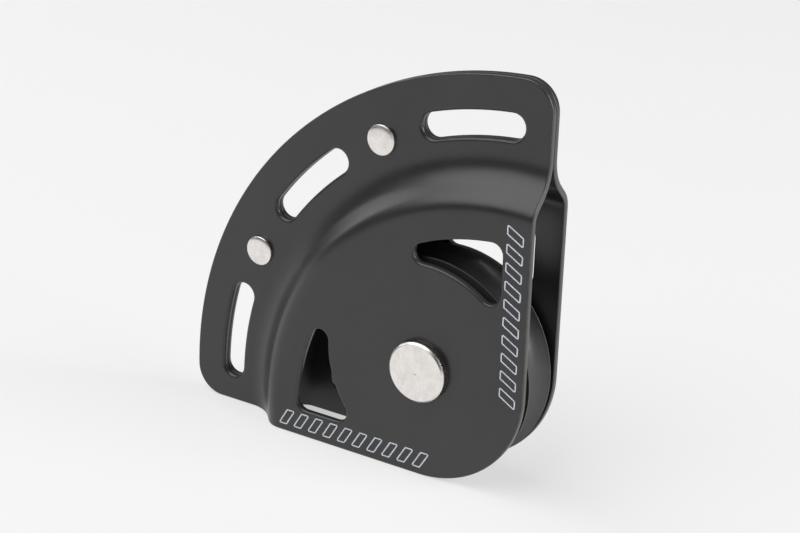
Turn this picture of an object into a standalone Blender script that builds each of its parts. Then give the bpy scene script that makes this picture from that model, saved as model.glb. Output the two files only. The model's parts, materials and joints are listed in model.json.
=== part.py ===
"""Single-sheave block for the corner of a sail, lashed on with webbing.

Two pressed quarter-circle plates meet face to face in a flange, where the webbing and two rivets
hold them, and stand apart around the sheave. +X points to the open side, +Y through the plates
from front to back, +Z up. The origin is under the middle of the block, at the height of the two
straight bottom edges. Sizes are in millimetres and become metres in the meshes.
"""

import math

import bmesh
import bpy
from mathutils import Matrix, Vector

MM = 0.001

# Outline of the plates. Arcs are struck from the hub, the centre of the quarter circle.
OUTER_R = 100.0
EDGE_BEYOND_HUB = 7.0  # how far the straight edges lie past the hub
TIP_R = 8.0  # rounding where the arc meets a straight edge
HUB_X = OUTER_R - (OUTER_R + EDGE_BEYOND_HUB) / 2
HUB_Z = EDGE_BEYOND_HUB
AXLE_FROM_HUB = 22.4  # the axle lies this far in from the hub, both ways
AXLE_X = HUB_X - AXLE_FROM_HUB
AXLE_Z = HUB_Z + AXLE_FROM_HUB
CORNER_R = 29.0

# Section of a plate, from the mid-plane outwards
SHEET = 1.8
SEAT_GAP = 0.05  # hairline beside a face that another piece rests on
RAISED_FACE = 9.1  # outer face around the sheave, from the mid-plane
RAISED_R = 67.3  # where the raised face ends, from the hub
CREST_BEND = 6.0  # bend radii on the outer face
FOOT_BEND = 10.5
STEP_ANGLE = math.radians(46.5)
EDGE_BREAK = 0.35
EDGE_ANGLE = math.radians(50)  # edges sharper than this are broken

# Slots for 25 mm webbing, rivets and windows
SLOT_R = 87.7
SLOT_HALF_WIDTH = 3.32
SLOT_HALF_ANGLE = 7.26
SLOT_SPACING = 35.38
MIDDLE_ANGLE = 135.0
RIVET_R = 87.5
RIVET_ANGLE = 17.86
WINDOW_TOP_R = 60.8  # from the hub
WINDOW_LOW_R = 28.5  # from the axle
WINDOW_SIDE = 0.67  # the window's straight side, short of the hub
WINDOW_TOP_ROUND = 3.0
WINDOW_LOW_ROUND = 3.0
WINDOW_END_ROUND = 2.6

# Axle and bearing, by radius and by distance from the mid-plane
FIT = 0.15  # radial clearance of turning and pushed-in pieces
FACE_GAP = 0.1  # clearance between flat faces
PIN_R = 5.0
HEAD_R = 8.2
HEAD_RISE = 2.3
HEAD_OUT = RAISED_FACE + HEAD_RISE
HEAD_IN = RAISED_FACE + SEAT_GAP
HEAD_CHAMFER = 0.45
SCREW_R = 3.0
SCREW_LENGTH = 8.0
BORE_SPARE = 0.5  # how far the pin's blind bore runs past the screw's end
SOCKET_SIDES = 6
SOCKET_R = 2.9  # at the corners
SOCKET_DEPTH = 1.5
RACE_R = 8.0
RACE_HALF = RAISED_FACE - SHEET - FACE_GAP
RACE_CHAMFER = 0.3
ROLLER_R = 1.75
ROLLER_HALF = 4.7
ROLLER_CHAMFER = 0.25
ROLLER_COUNT = 12
ROLLER_PITCH_R = RACE_R + FIT + ROLLER_R
BORE_R = ROLLER_PITCH_R + ROLLER_R + FIT
CAGE_HALF = 5.4
CAGE_IN_R = 8.35
CAGE_OUT_R = 11.45
RETAINER_IN_R = 8.45
RETAINER_R = 14.4
RETAINER_FLOOR = 5.5
WASHER_IN_R = 8.15
WASHER_R = 13.5

# Sheave, and rivets through the flange
SHEAVE_HALF = 6.5  # at the bearing
RIM_HALF = 5.6
RIM_R = 29.3
RIM_BREAK = 0.22
GROOVE_HALF = 5.3
GROOVE_R = 25.2
WEB_IN_R = 16.0  # the sheave narrows from here to its rim
WEB_OUT_R = 21.0
RIVET_SHANK_R = 2.0
RIVET_HEAD_R = 4.0
RIVET_HEAD_RISE = 1.2
RIVET_HEAD_EDGE = 0.6  # height of the head's side, below its dome
RIVET_END_R = 3.1
RIVET_END_RISE = 0.9
RIVET_WASHER_R = 4.2
RIVET_WASHER_THICK = 0.5

# How finely round shapes are divided
ARC_ERROR = 0.04  # an outline's chords stay this close to their arc
PLATE_STEPS = 72
BEND_STEPS = 5
GROOVE_STEPS = 10
DOME_STEPS = 5
SHEAVE_STEPS = 52
ROUND_STEPS = 40
SMALL_STEPS = 20
ROLLER_STEPS = 16
CUT_DEPTH = 30.0
BLANK_R = 112.0  # a plate is turned to this radius before its outline is cut

PLATE_OUT = SEAT_GAP + SHEET
ALONG_Y = Matrix.Rotation(-math.pi / 2, 4, "X")  # turns a shape made along Z so that it lies along Y
UPRIGHT = Matrix.Rotation(math.pi / 2, 4, "X")  # stands a flat outline up in the XZ plane


def clear_scene():
    for old in list(bpy.data.objects):
        bpy.data.objects.remove(old, do_unlink=True)


def new_collection(name):
    collection = bpy.data.collections.new(name)
    bpy.context.scene.collection.children.link(collection)
    return collection


def make_material(name, color, roughness, metallic):
    material = bpy.data.materials.new(name)
    material.use_nodes = True
    shader = material.node_tree.nodes["Principled BSDF"]
    shader.inputs["Base Color"].default_value = (*color, 1.0)
    shader.inputs["Roughness"].default_value = roughness
    shader.inputs["Metallic"].default_value = metallic
    return material


def place(obj, place_mm, turn=Matrix.Identity(4)):
    obj.matrix_world = Matrix.Translation(Vector(place_mm) * MM) @ turn
    return obj


def make_pivot(name, place_mm):
    pivot = bpy.data.objects.new(name, None)
    pivot.empty_display_size = 5 * MM
    parts.objects.link(pivot)
    return place(pivot, place_mm)


def hang_on(pivot, *objects):
    """Parents pieces to a pivot without moving them."""
    bpy.context.view_layer.update()
    for obj in objects:
        obj.parent = pivot
        obj.matrix_parent_inverse = pivot.matrix_world.inverted()


def polar(radius, degrees):
    return radius * math.cos(math.radians(degrees)), radius * math.sin(math.radians(degrees))


def arc(cx, cz, radius, start, end):
    """Points along an arc in the plates' plane, with angles in degrees."""
    chord = math.degrees(2 * math.acos(1 - ARC_ERROR / radius))
    count = math.ceil(abs(end - start) / chord)
    spots = [polar(radius, start + (end - start) * i / count) for i in range(count + 1)]
    return [(cx + x, cz + z) for x, z in spots]


def angle_of(x, z):
    return math.degrees(math.atan2(z, x)) % 360


def turned(name, profile, centre, steps, material, closed=False):
    """A turned piece on an axis along Y. The profile holds (radius, distance along Y) pairs, and
    runs from the rear end over the outer side to the front end."""
    count = len(profile)
    edges = [(i, i + 1) for i in range(count - 1)]
    if closed:
        edges.append((count - 1, 0))
    mesh = bpy.data.meshes.new(name)
    mesh.from_pydata([(r * MM, 0, y * MM) for r, y in profile], edges, [])
    obj = bpy.data.objects.new(name, mesh)
    parts.objects.link(obj)
    screw = obj.modifiers.new("Turn", "SCREW")
    screw.steps = steps
    screw.render_steps = steps
    screw.use_merge_vertices = True
    screw.merge_threshold = 0.00001
    screw.use_smooth_shade = True
    obj.data.materials.append(material)
    return place(obj, centre, ALONG_Y)


def ring(name, inner, outer, low, high, material, chamfer=0.0):
    """A flat ring around the axle, with its outer edges chamfered."""
    profile = [(inner, high), (outer, high), (outer, low), (inner, low)]
    if chamfer:
        profile[1:3] = [(outer - chamfer, high), (outer, high - chamfer),
                        (outer, low + chamfer), (outer - chamfer, low)]
    return turned(name, profile, (AXLE_X, 0, AXLE_Z), ROUND_STEPS, material, closed=True)


def as_mesh(curve_object, collection):
    """A mesh copy of a curve, with its caps welded. The curve is removed."""
    bpy.context.view_layer.update()
    graph = bpy.context.evaluated_depsgraph_get()
    mesh = bpy.data.meshes.new_from_object(curve_object.evaluated_get(graph))
    shape = bmesh.new()
    shape.from_mesh(mesh)
    bmesh.ops.remove_doubles(shape, verts=shape.verts, dist=0.000001)
    shape.to_mesh(mesh)
    shape.free()
    made = bpy.data.objects.new(curve_object.name, mesh)
    made.matrix_world = curve_object.matrix_world
    collection.objects.link(made)
    bpy.data.objects.remove(curve_object, do_unlink=True)
    return made


def cutter(name, outlines):
    """A prism right through the block, from closed outlines of (x, z) points about the hub."""
    curve = bpy.data.curves.new(name, "CURVE")
    curve.dimensions = "2D"
    curve.fill_mode = "BOTH"
    curve.extrude = CUT_DEPTH / 2 * MM
    for outline in outlines:
        spline = curve.splines.new("POLY")
        spline.points.add(len(outline) - 1)
        for point, (x, z) in zip(spline.points, outline):
            point.co = (x * MM, z * MM, 0, 1)
        spline.use_cyclic_u = True
    obj = bpy.data.objects.new(name, curve)
    cutters.objects.link(obj)
    place(obj, (HUB_X, 0, HUB_Z), UPRIGHT)
    return hide(as_mesh(obj, cutters))


def hide(obj):
    obj.hide_render = True
    obj.display_type = "WIRE"
    return obj


def boolean(obj, other, operation):
    modifier = obj.modifiers.new(other.name, "BOOLEAN")
    modifier.operation = operation
    modifier.solver = "EXACT"
    modifier.object = other


def break_edges(obj, width):
    bevel = obj.modifiers.new("Broken edges", "BEVEL")
    bevel.width = width * MM
    bevel.segments = 1
    bevel.limit_method = "ANGLE"
    bevel.angle_limit = EDGE_ANGLE


# ---- side plates ----


def mirrored(outline):
    """An outline mirrored about the block's diagonal."""
    return [(-z, -x) for x, z in reversed(outline)]


def plate_outline():
    tip_x = EDGE_BEYOND_HUB - TIP_R
    tip_z = math.sqrt((OUTER_R - TIP_R) ** 2 - tip_x**2)
    tip_angle = angle_of(tip_x, tip_z)
    top_tip = arc(tip_x, tip_z, TIP_R, 0, tip_angle)
    rim = arc(0, 0, OUTER_R, tip_angle, 270 - tip_angle)
    inset = CORNER_R - EDGE_BEYOND_HUB
    corner = arc(-inset, inset, CORNER_R, 270, 360)
    return corner + top_tip + rim[1:-1] + mirrored(top_tip)


def slot_outline(middle):
    low, high = middle - SLOT_HALF_ANGLE, middle + SLOT_HALF_ANGLE
    points = arc(0, 0, SLOT_R + SLOT_HALF_WIDTH, low, high)
    points += arc(*polar(SLOT_R, high), SLOT_HALF_WIDTH, high, high + 180)[1:-1]
    points += arc(0, 0, SLOT_R - SLOT_HALF_WIDTH, high, low)
    return points + arc(*polar(SLOT_R, low), SLOT_HALF_WIDTH, low + 180, low + 360)[1:-1]


def window_outline():
    """The upper window: an arc about the hub above, one about the axle below, and a straight
    side towards the open edge. Each corner is an arc tangent to its two neighbours."""
    ax, az = -AXLE_FROM_HUB, AXLE_FROM_HUB
    # upper corner, tangent to the straight side and the hub's arc
    ux = -WINDOW_SIDE - WINDOW_TOP_ROUND
    uz = math.sqrt((WINDOW_TOP_R - WINDOW_TOP_ROUND) ** 2 - ux**2)
    # lower corner, tangent to the straight side and the axle's arc
    lx = -WINDOW_SIDE - WINDOW_LOW_ROUND
    lz = az + math.sqrt((WINDOW_LOW_R + WINDOW_LOW_ROUND) ** 2 - (lx - ax) ** 2)
    # far end, tangent to both arcs
    apart = math.hypot(ax, az)
    from_hub = WINDOW_TOP_R - WINDOW_END_ROUND
    from_axle = WINDOW_LOW_R + WINDOW_END_ROUND
    along = (from_hub**2 - from_axle**2 + apart**2) / (2 * apart)
    across = math.sqrt(from_hub**2 - along**2)
    half = math.sqrt(0.5)
    ex, ez = (across - along) * half, (across + along) * half

    low_angle = angle_of(lx - ax, lz - az)
    end_low_angle = angle_of(ex - ax, ez - az)
    end_top_angle = angle_of(ex, ez)
    points = arc(ux, uz, WINDOW_TOP_ROUND, 0, angle_of(ux, uz))
    points += arc(0, 0, WINDOW_TOP_R, angle_of(ux, uz), end_top_angle)[1:-1]
    points += arc(ex, ez, WINDOW_END_ROUND, end_top_angle, end_low_angle + 180)
    points += arc(ax, az, WINDOW_LOW_R, end_low_angle, low_angle)[1:-1]
    return points + arc(lx, lz, WINDOW_LOW_ROUND, low_angle + 180, 360)


def circle(cx, cz, radius, count):
    spots = [polar(radius, 360 * i / count) for i in range(count)]
    return [(cx + x, cz + z) for x, z in spots]


def rivet_places():
    """The two rivets' centres about the hub, upper first."""
    return [polar(RIVET_R, MIDDLE_ANGLE + side * RIVET_ANGLE) for side in (-1, 1)]


def foot_radius():
    """Where the step down from the raised face meets the flange: two bends, and a straight
    stretch between them that makes up the rest of the height."""
    rise = RAISED_FACE - PLATE_OUT
    bends = CREST_BEND + FOOT_BEND
    straight = (rise - bends * (1 - math.cos(STEP_ANGLE))) / math.sin(STEP_ANGLE)
    return RAISED_R + bends * math.sin(STEP_ANGLE) + straight * math.cos(STEP_ANGLE)


def plate_face(inset):
    """One face of the sheet from the hub outwards, inset from the outer face. Both faces share
    the bends' centres."""
    foot_r = foot_radius()
    crest, foot = CREST_BEND - inset, FOOT_BEND + inset
    angles = [STEP_ANGLE * i / BEND_STEPS for i in range(BEND_STEPS + 1)]
    points = [(0, RAISED_FACE - inset)]
    for a in angles:
        points.append((RAISED_R + crest * math.sin(a), RAISED_FACE - CREST_BEND + crest * math.cos(a)))
    for a in reversed(angles):
        points.append((foot_r - foot * math.sin(a), PLATE_OUT + FOOT_BEND - foot * math.cos(a)))
    points.append((BLANK_R, PLATE_OUT - inset))
    return points


def plate_profile():
    return plate_face(0) + plate_face(SHEET)[::-1]


def side_plate(name, side, holes):
    """side is 1 for the rear plate and -1 for the front one, its mirror image."""
    profile = [(r, side * y) for r, y in plate_profile()]
    if side < 0:
        profile.reverse()
    plate = turned(name, profile, (HUB_X, 0, HUB_Z), PLATE_STEPS, anodised)
    for operation, tool in holes:
        boolean(plate, tool, operation)
    break_edges(plate, EDGE_BREAK)


def make_plates():
    outline = cutter("cut_outline", [plate_outline()])
    slots = cutter("cut_slots", [slot_outline(MIDDLE_ANGLE + i * SLOT_SPACING) for i in (-1, 0, 1)])
    windows = cutter("cut_windows", [window_outline(), mirrored(window_outline())])
    rounds = [circle(x, z, RIVET_SHANK_R + FIT, SMALL_STEPS) for x, z in rivet_places()]
    rounds.append(circle(-AXLE_FROM_HUB, AXLE_FROM_HUB, PIN_R + FIT, ROUND_STEPS))
    bores = cutter("cut_bores", rounds)
    tools = [("INTERSECT", outline), ("DIFFERENCE", slots), ("DIFFERENCE", windows),
             ("DIFFERENCE", bores)]
    side_plate("front_side_plate", -1, tools)
    side_plate("rear_side_plate", 1, tools)


# ---- axle ----


def make_axle():
    centre = (AXLE_X, 0, AXLE_Z)
    rear = RAISED_FACE - SEAT_GAP
    depth = rear - SCREW_LENGTH - BORE_SPARE
    turned("axle_pin", [
        (0, depth), (SCREW_R + FIT, depth), (SCREW_R + FIT, rear), (PIN_R, rear),
        (PIN_R, -HEAD_IN), (HEAD_R, -HEAD_IN), (HEAD_R, -HEAD_OUT + HEAD_CHAMFER),
        (HEAD_R - HEAD_CHAMFER, -HEAD_OUT), (0, -HEAD_OUT),
    ], centre, ROUND_STEPS, stainless)
    screw = turned("axle_screw", [
        (0, HEAD_OUT), (HEAD_R - HEAD_CHAMFER, HEAD_OUT), (HEAD_R, HEAD_OUT - HEAD_CHAMFER),
        (HEAD_R, HEAD_IN), (SCREW_R, HEAD_IN), (SCREW_R, HEAD_IN - SCREW_LENGTH),
        (0, HEAD_IN - SCREW_LENGTH),
    ], centre, ROUND_STEPS, stainless)
    key_hole = circle(-AXLE_FROM_HUB, AXLE_FROM_HUB, SOCKET_R, SOCKET_SIDES)
    socket = cutter("cut_socket", [key_hole])
    socket.location.y = (HEAD_OUT - SOCKET_DEPTH + CUT_DEPTH / 2) * MM
    boolean(screw, socket, "DIFFERENCE")


# ---- bearing ----


def roller_places():
    """The rollers' centres about the hub."""
    return circle(-AXLE_FROM_HUB, AXLE_FROM_HUB, ROLLER_PITCH_R, ROLLER_COUNT)


def make_roller(name, x, z):
    bpy.ops.mesh.primitive_cylinder_add(
        vertices=ROLLER_STEPS, radius=ROLLER_R * MM, depth=2 * ROLLER_HALF * MM)
    roller = bpy.context.object
    roller.name = name
    roller.data.name = name
    for collection in list(roller.users_collection):
        collection.objects.unlink(roller)
    parts.objects.link(roller)
    roller.data.materials.append(acetal)
    roller.data.shade_smooth()
    roller.data.set_sharp_from_angle(angle=EDGE_ANGLE)
    break_edges(roller, ROLLER_CHAMFER)
    return place(roller, (HUB_X + x, 0, HUB_Z + z), ALONG_Y)


def make_cage():
    cage = ring("roller_cage", CAGE_IN_R, CAGE_OUT_R, -CAGE_HALF, CAGE_HALF, acetal_dark)
    pockets = [circle(x, z, ROLLER_R + FIT, SMALL_STEPS) for x, z in roller_places()]
    tool = cutter("cut_pockets", pockets)
    tool.scale.z = 2 * (ROLLER_HALF + FIT) / CUT_DEPTH
    boolean(cage, tool, "DIFFERENCE")
    return cage


def make_bearing():
    ring("bearing_inner_race", PIN_R + FIT, RACE_R, -RACE_HALF, RACE_HALF, stainless, RACE_CHAMFER)
    cage_pivot = make_pivot("cage_pivot", (AXLE_X, 0, AXLE_Z))
    hang_on(cage_pivot, make_cage())
    for i, (x, z) in enumerate(roller_places(), 1):
        hang_on(cage_pivot, make_roller(f"bearing_roller_{i:02d}", x, z))


def make_thrust_washers():
    low, high = SHEAVE_HALF + FACE_GAP, RACE_HALF
    for name, ends in (("front", (-high, -low)), ("rear", (low, high))):
        ring(f"thrust_washer_{name}", WASHER_IN_R, WASHER_R, *ends, acetal_dark)


# ---- sheave ----


def groove_points():
    """The rope groove from the rear rim to the front one: one wide circular hollow."""
    depth = RIM_R - GROOVE_R
    radius = (GROOVE_HALF**2 + depth**2) / (2 * depth)
    reach = math.asin(GROOVE_HALF / radius)
    middle = GROOVE_R + radius
    for i in range(GROOVE_STEPS + 1):
        a = reach - 2 * reach * i / GROOVE_STEPS
        yield middle - radius * math.cos(a), radius * math.sin(a)


def make_sheave():
    recess = RETAINER_R + FACE_GAP
    side = [(BORE_R, RETAINER_FLOOR), (recess, RETAINER_FLOOR), (recess, SHEAVE_HALF),
            (WEB_IN_R, SHEAVE_HALF), (WEB_OUT_R, RIM_HALF), (RIM_R - RIM_BREAK, RIM_HALF),
            (RIM_R, RIM_HALF - RIM_BREAK)]
    profile = side + list(groove_points()) + [(r, -y) for r, y in reversed(side)]
    sheave = turned("sheave", profile, (AXLE_X, 0, AXLE_Z), SHEAVE_STEPS, anodised, closed=True)
    low, high = RETAINER_FLOOR + SEAT_GAP, SHEAVE_HALF - SEAT_GAP
    front = ring("sheave_retaining_ring_front", RETAINER_IN_R, RETAINER_R, -high, -low, stainless)
    rear = ring("sheave_retaining_ring_rear", RETAINER_IN_R, RETAINER_R, low, high, stainless)
    hang_on(make_pivot("sheave_pivot", (AXLE_X, 0, AXLE_Z)), sheave, front, rear)


# ---- rivets ----


def dome(radius, rise, base, direction):
    """A low spherical cap from its middle to its edge."""
    sphere = (radius**2 + rise**2) / (2 * rise)
    reach = math.asin(radius / sphere)
    points = []
    for i in range(DOME_STEPS + 1):
        a = reach * i / DOME_STEPS
        out = rise - sphere * (1 - math.cos(a))
        points.append((sphere * math.sin(a), base + direction * out))
    return points


def make_rivets():
    face = PLATE_OUT + SEAT_GAP
    washer_out = face + RIVET_WASHER_THICK
    end = washer_out + SEAT_GAP
    inner = RIVET_SHANK_R + FIT
    for name, (x, z) in zip(("upper", "lower"), rivet_places()):
        centre = (HUB_X + x, 0, HUB_Z + z)
        profile = dome(RIVET_END_R, RIVET_END_RISE, end, 1)
        profile += [(RIVET_SHANK_R, end), (RIVET_SHANK_R, -face), (RIVET_HEAD_R, -face)]
        profile += dome(RIVET_HEAD_R, RIVET_HEAD_RISE - RIVET_HEAD_EDGE, -face - RIVET_HEAD_EDGE, -1)[::-1]
        turned(f"flange_rivet_{name}", profile, centre, SMALL_STEPS, stainless)
        turned(f"rivet_washer_{name}", [
            (inner, washer_out), (RIVET_WASHER_R, washer_out), (RIVET_WASHER_R, face), (inner, face),
        ], centre, SMALL_STEPS, stainless, closed=True)


clear_scene()
parts = new_collection("corner_block")
cutters = new_collection("cutters")
anodised = make_material("black_anodised", (0.055, 0.052, 0.053), 0.5, 0.6)
stainless = make_material("stainless", (0.74, 0.71, 0.68), 0.32, 1.0)
acetal = make_material("acetal_white", (0.80, 0.79, 0.75), 0.45, 0.0)
acetal_dark = make_material("acetal_black", (0.03, 0.03, 0.03), 0.5, 0.0)

make_plates()
make_axle()
make_bearing()
make_thrust_washers()
make_sheave()
make_rivets()
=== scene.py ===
import json
import math

import bmesh
import bpy
import numpy as np
from mathutils import Matrix, Vector
from mathutils.geometry import delaunay_2d_cdt
from mathutils.kdtree import KDTree


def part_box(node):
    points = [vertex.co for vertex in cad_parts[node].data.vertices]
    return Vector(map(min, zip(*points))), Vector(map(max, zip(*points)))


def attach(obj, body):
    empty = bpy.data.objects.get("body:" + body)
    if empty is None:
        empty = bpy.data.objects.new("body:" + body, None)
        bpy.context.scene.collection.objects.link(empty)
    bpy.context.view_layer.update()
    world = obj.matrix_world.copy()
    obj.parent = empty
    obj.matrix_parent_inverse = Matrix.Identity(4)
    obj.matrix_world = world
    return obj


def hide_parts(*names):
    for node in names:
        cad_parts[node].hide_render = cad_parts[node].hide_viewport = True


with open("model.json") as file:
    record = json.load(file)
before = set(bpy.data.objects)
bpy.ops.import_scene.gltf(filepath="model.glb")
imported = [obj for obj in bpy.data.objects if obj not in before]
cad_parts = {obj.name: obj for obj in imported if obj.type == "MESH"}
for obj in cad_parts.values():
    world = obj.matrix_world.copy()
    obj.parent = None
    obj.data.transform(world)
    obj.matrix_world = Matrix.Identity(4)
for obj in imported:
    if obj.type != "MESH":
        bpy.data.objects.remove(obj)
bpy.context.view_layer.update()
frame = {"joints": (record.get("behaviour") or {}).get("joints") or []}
mm = 0.001

# places read from the frame, in millimetres
joints = {joint["name"]: joint for joint in frame["joints"]}
plateLow, plateHigh = (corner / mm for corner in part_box("front_side_plate"))
sheaveLow, sheaveHigh = (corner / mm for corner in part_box("sheave"))
axle = Vector(joints["sheave_spin"]["pos_m"]) / mm
edgeBeyondHub = 7.0
hub = Vector((plateHigh.x - edgeBeyondHub, 0, plateLow.z + edgeBeyondHub))
outerRadius = plateHigh.z - hub.z
raisedFace = -plateLow.y
axleFromHub = hub.x - axle.x
sheet = 1.8
flangeFace = sheet - plateHigh.y  # outer face of the flange, from the mid-plane


def half(node, axis):  # half of a CAD node's size along an axis, in millimetres
    low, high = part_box(node)
    return (high[axis] - low[axis]) / 2 / mm


# node trees: small helpers for both kinds


def newTree(name, kind, inputs, outputs):
    tree = bpy.data.node_groups.new(name, kind)
    for label, socketType, value in inputs:
        socket = tree.interface.new_socket(label, in_out="INPUT", socket_type="NodeSocket" + socketType)
        if value is not None:
            socket.default_value = value
    for label, socketType in outputs:
        tree.interface.new_socket(label, in_out="OUTPUT", socket_type="NodeSocket" + socketType)
    return tree, tree.nodes.new("NodeGroupInput").outputs, tree.nodes.new("NodeGroupOutput").inputs


def plug(tree, value, socket):  # a socket is linked, anything else is the socket's value
    if isinstance(value, bpy.types.NodeSocket):
        tree.links.new(value, socket)
    elif value is not None:
        socket.default_value = value


def addNode(tree, kind, values=None, **settings):
    node = tree.nodes.new(kind)
    for key, value in settings.items():
        setattr(node, key, value)
    for key, value in (values or {}).items():
        plug(tree, value, node.inputs[key])
    return node


def calc(tree, operation, *values):
    node = addNode(tree, "ShaderNodeMath", operation=operation)
    for socket, value in zip(node.inputs, values):
        plug(tree, value, socket)
    return node.outputs[0]


def vectorCalc(tree, operation, *values):
    node = addNode(tree, "ShaderNodeVectorMath", operation=operation)
    for socket, value in zip(node.inputs, values):
        plug(tree, value, socket)
    return node.outputs["Value" if operation == "LENGTH" else "Vector"]


def ramp(tree, value, low, high, toLow=0.0, toHigh=1.0):
    values = {"Value": value, "From Min": low, "From Max": high, "To Min": toLow, "To Max": toHigh}
    return addNode(tree, "ShaderNodeMapRange", values, interpolation_type="SMOOTHSTEP").outputs[0]


# shared surface effects


def makeBlastGrain():
    tree, given, result = newTree("blastGrain", "ShaderNodeTree", [
        ("Vector", "Vector", None), ("Grain", "Float", 0.00022), ("Patch", "Float", 0.018)],
        [("Height", "Float"), ("Patches", "Float")])
    grainScale = calc(tree, "DIVIDE", 1.0, given["Grain"])
    fine = addNode(tree, "ShaderNodeTexNoise",
                   {"Vector": given["Vector"], "Scale": grainScale, "Detail": 3.0, "Roughness": 0.6})
    pits = addNode(tree, "ShaderNodeTexVoronoi",
                   {"Vector": given["Vector"], "Scale": calc(tree, "MULTIPLY", grainScale, 0.6)})
    pitted = calc(tree, "MULTIPLY_ADD", pits.outputs["Distance"], 0.5, fine.outputs[0])
    broad = addNode(tree, "ShaderNodeTexNoise", {
        "Vector": given["Vector"], "Scale": calc(tree, "DIVIDE", 1.0, given["Patch"]),
        "Detail": 5.0, "Roughness": 0.62, "Distortion": 0.4})
    plug(tree, calc(tree, "MULTIPLY", pitted, 0.7), result["Height"])
    plug(tree, ramp(tree, broad.outputs[0], 0.32, 0.68), result["Patches"])
    return tree


def makeTurningMarks():  # fine rings round an axis along Y, which the incoming vector is centred on
    tree, given, result = newTree("turningMarks", "ShaderNodeTree", [
        ("Vector", "Vector", None), ("Pitch", "Float", 0.00025), ("Axial", "Float", 0.6)],
        [("Height", "Float"), ("Bands", "Float")])
    flat = vectorCalc(tree, "MULTIPLY", given["Vector"], (1, 0, 1))
    across = vectorCalc(tree, "LENGTH", flat)
    parts = addNode(tree, "ShaderNodeSeparateXYZ", {"Vector": given["Vector"]})
    along = calc(tree, "MULTIPLY_ADD", parts.outputs["Y"], given["Axial"], across)
    wander = addNode(tree, "ShaderNodeTexNoise", {"Vector": given["Vector"], "Scale": 90.0, "Detail": 1.0})
    along = calc(tree, "MULTIPLY_ADD", wander.outputs[0], 0.00012, along)
    ringScale = calc(tree, "DIVIDE", 1.0, given["Pitch"])
    rings = addNode(tree, "ShaderNodeTexNoise",
                    {"W": along, "Scale": ringScale, "Detail": 2.0, "Roughness": 0.7}, noise_dimensions="1D")
    bands = addNode(tree, "ShaderNodeTexNoise", {
        "W": along, "Scale": calc(tree, "MULTIPLY", ringScale, 0.09), "Detail": 2.0}, noise_dimensions="1D")
    plug(tree, rings.outputs[0], result["Height"])
    plug(tree, ramp(tree, bands.outputs[0], 0.35, 0.65), result["Bands"])
    return tree


def makeEdgeWear():
    tree, given, result = newTree("edgeWear", "ShaderNodeTree", [
        ("Vector", "Vector", None), ("Distance", "Float", 1.0), ("Width", "Float", 0.0004)],
        [("Mask", "Float")])
    broken = addNode(tree, "ShaderNodeTexNoise",
                     {"Vector": given["Vector"], "Scale": 420.0, "Detail": 4.0, "Roughness": 0.7})
    reach = calc(tree, "MULTIPLY", given["Width"], ramp(tree, broken.outputs[0], 0.3, 0.7, 0.35, 1.4))
    share = calc(tree, "DIVIDE", given["Distance"], reach)
    plug(tree, ramp(tree, share, 0.35, 1.0, 1.0, 0.0), result["Mask"])
    return tree


def makeHandling():  # faint smudges and the odd speck of dust
    tree, given, result = newTree("handling", "ShaderNodeTree", [
        ("Vector", "Vector", None), ("Smudge Size", "Float", 0.012), ("Speck Size", "Float", 0.00012)],
        [("Smudges", "Float"), ("Specks", "Float")])
    stretched = vectorCalc(tree, "MULTIPLY", given["Vector"], (1.0, 1.0, 0.45))
    smudge = addNode(tree, "ShaderNodeTexNoise", {
        "Vector": stretched, "Scale": calc(tree, "DIVIDE", 1.0, given["Smudge Size"]),
        "Detail": 6.0, "Roughness": 0.66, "Distortion": 1.1})
    cellScale = 260.0
    cells = addNode(tree, "ShaderNodeTexVoronoi", {"Vector": given["Vector"], "Scale": cellScale})
    fromCell = calc(tree, "DIVIDE", cells.outputs["Distance"], cellScale)
    speck = ramp(tree, fromCell, 0.0, given["Speck Size"], 1.0, 0.0)
    chosen = addNode(tree, "ShaderNodeSeparateXYZ", {"Vector": cells.outputs["Color"]})
    rare = calc(tree, "GREATER_THAN", chosen.outputs["X"], 0.93)
    plug(tree, ramp(tree, smudge.outputs[0], 0.42, 0.72), result["Smudges"])
    plug(tree, calc(tree, "MULTIPLY", speck, rare), result["Specks"])
    return tree


groups = {"blastGrain": makeBlastGrain(), "turningMarks": makeTurningMarks(),
          "edgeWear": makeEdgeWear(), "handling": makeHandling()}
print("surface effects:", ", ".join(groups))


# materials


def startMaterial(name, roughness, metallic=0.0, ior=1.5, centre=None):
    material = bpy.data.materials.new(name)
    material.use_nodes = True
    tree = material.node_tree
    shader = tree.nodes["Principled BSDF"]
    shader.inputs["Roughness"].default_value = roughness
    shader.inputs["Metallic"].default_value = metallic
    shader.inputs["IOR"].default_value = ior
    where = addNode(tree, "ShaderNodeTexCoord").outputs["Object"]
    if centre is not None:
        move = addNode(tree, "ShaderNodeMapping", {"Vector": where, "Location": -centre * mm})
        where = move.outputs["Vector"]
    return material, tree, shader, where


def effect(tree, name, **values):
    node = addNode(tree, "ShaderNodeGroup", node_tree=groups[name])
    for label, value in values.items():
        plug(tree, value, node.inputs[label.replace("_", " ")])
    return node.outputs


def blend(tree, factor, colorA, colorB):
    node = addNode(tree, "ShaderNodeMix", data_type="RGBA")
    plug(tree, factor, node.inputs[0])
    plug(tree, colorA, node.inputs[6])
    plug(tree, colorB, node.inputs[7])
    return node.outputs[2]


def addBump(tree, shader, height, depth, strength=1.0, under=None):
    node = addNode(tree, "ShaderNodeBump", {"Height": height, "Distance": depth, "Strength": strength})
    plug(tree, under, node.inputs["Normal"])
    plug(tree, node.outputs[0], shader.inputs["Normal"])
    return node.outputs[0]


def grey(value, warmth=0.0):
    return (value * (1 + warmth), value, value * (1 - warmth), 1.0)


plateFinish = {"color": grey(0.012, 0.02), "patchColor": grey(0.016, 0.03), "wornColor": grey(0.075, 0.02),
               "dustColor": grey(0.16, 0.03), "roughness": (0.27, 0.33), "grainDepth": 0.000012}


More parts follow.
